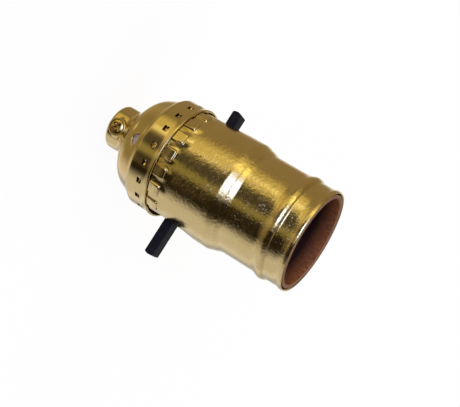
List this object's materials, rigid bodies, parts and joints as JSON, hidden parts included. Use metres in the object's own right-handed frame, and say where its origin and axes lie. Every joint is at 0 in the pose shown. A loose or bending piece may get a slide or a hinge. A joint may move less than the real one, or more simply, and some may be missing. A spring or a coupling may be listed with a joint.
{
  "type": "push-through lamp socket",
  "caption": "Push-through lamp socket: brass shell with pressed pads, windowed cap with threaded collar and side set screw, black push rod, board liner and screw shell.",
  "frame": {"origin": "centre of the collar's end face, where the pipe nipple goes in", "axes": "+Z along the socket's axis from the collar to the lamp opening; the push rod lies along X, its long end towards +X at rest; the set screw is on the -Y side"},
  "size_m": [0.051, 0.0372, 0.0739],
  "materials": {
    "brass_plate": "polished, with fine speckles",
    "turned_brass": "turned",
    "spring_brass": "rolled strip",
    "screw_brass": "plated screw",
    "nickel_screw": "nickel plate",
    "spring_steel": "rolled strip",
    "liner_board": "matt pressed board",
    "fibre": "matt vulcanised fibre",
    "rod_plastic": "satin black",
    "housing_moulding": "moulded, half gloss"
  },
  "bodies": {
    "socket": {"cap": "brass_plate", "cap_bushing": "turned_brass", "cap_liner": "liner_board", "shell": "brass_plate", "shell_liner": "liner_board", "switch_housing": "housing_moulding", "housing_cover": "fibre", "lamp_base": "housing_moulding", "screw_shell": "spring_brass", "centre_contact": "spring_brass", "centre_rivet": "turned_brass", "housing_rivet_1": "turned_brass", "housing_rivet_2": "turned_brass", "centre_lead": "spring_brass", "hot_terminal": "spring_brass", "neutral_terminal": "spring_brass", "hot_terminal_screw": "screw_brass", "neutral_terminal_screw": "nickel_screw", "rocker_pin": "turned_brass", "detent_spring": "spring_steel"},
    "rod": {"push_rod": "rod_plastic"},
    "rocker": {"contact_rocker": "spring_brass"},
    "collar_screw": {"set_screw": "screw_brass"}
  },
  "joints": [
    {"name": "push_rod_slide", "type": "slide", "parent": "socket", "child": "rod", "axis": [-1, 0, 0], "range_m": [0, 0.0066]},
    {"name": "rocker_pivot", "type": "hinge", "parent": "socket", "child": "rocker", "pos_m": [0, 0, 0.0252], "axis": [0, -1, 0], "range_deg": [0, 56.3]},
    {"name": "set_screw_advance", "type": "slide", "parent": "socket", "child": "collar_screw", "axis": [-0.1392, 0.9903, 0], "range_m": [0, 0.0006]}
  ],
  "couplings": [
    {"joint": "rocker_pivot", "follows": "push_rod_slide", "rad_per_m": 148.77}
  ]
}
